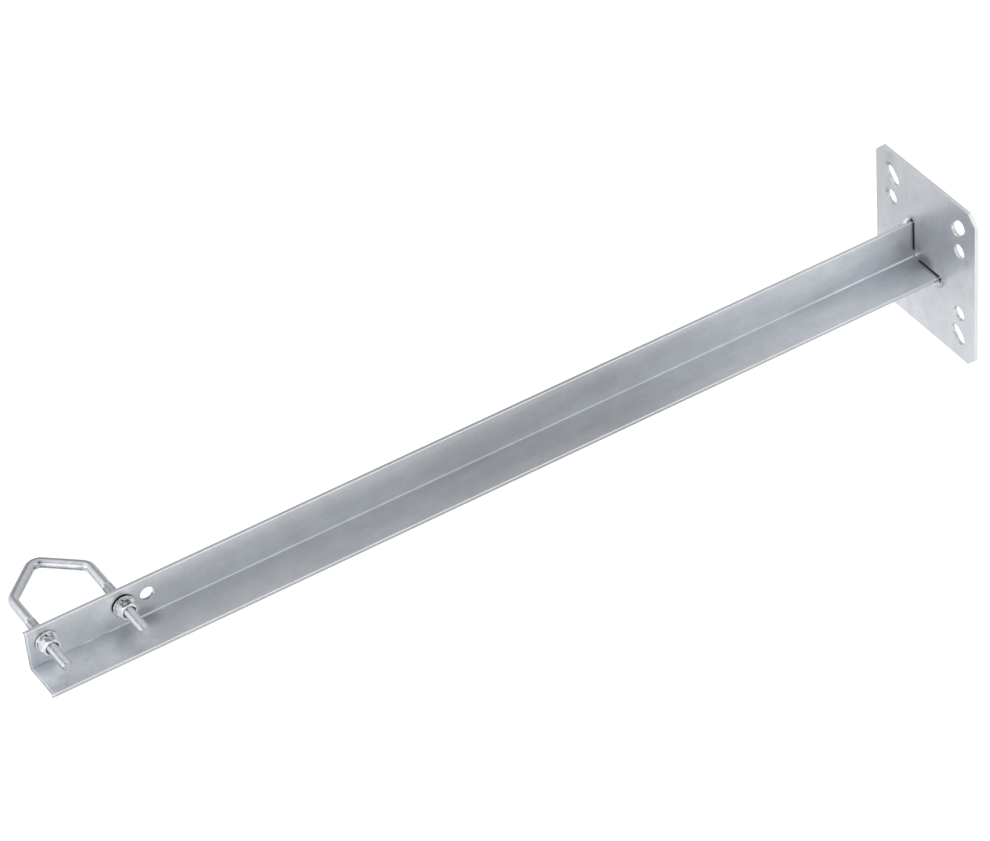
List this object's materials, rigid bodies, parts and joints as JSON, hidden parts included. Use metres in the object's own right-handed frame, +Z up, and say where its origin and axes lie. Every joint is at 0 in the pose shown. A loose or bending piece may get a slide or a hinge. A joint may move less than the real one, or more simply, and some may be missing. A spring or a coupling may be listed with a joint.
{
  "type": "antenna mast wall bracket",
  "caption": "Wall bracket for an antenna mast: slotted wall plate, welded angle arm, and a V-bolt with washers and nuts that clamps an upright mast near the arm's tip.",
  "frame": {"origin": "middle of the wall plate, on its wall face", "axes": "+Y into the wall, so the arm points along -Y; +Z up, +X to the right seen from in front of the wall; the V-bolt points along -X"},
  "size_m": [0.1527, 0.745, 0.14],
  "materials": {
    "galvanised_steel": "smooth bright zinc coat over rolled steel, faintly cloudy",
    "weld_metal": "zinc-coated weld bead with low ripples",
    "zinc_plated_steel": "bright zinc plating, rolled thread"
  },
  "bodies": {
    "root": {"wall_plate": "galvanised_steel", "angle_arm": "galvanised_steel", "weld_bead": "weld_metal", "weld_tack": "weld_metal", "v_bolt": "zinc_plated_steel", "outboard_flat_washer": "zinc_plated_steel", "outboard_spring_washer": "zinc_plated_steel", "outboard_hex_nut": "zinc_plated_steel", "inboard_flat_washer": "zinc_plated_steel", "inboard_spring_washer": "zinc_plated_steel", "inboard_hex_nut": "zinc_plated_steel"}
  },
  "joints": []
}
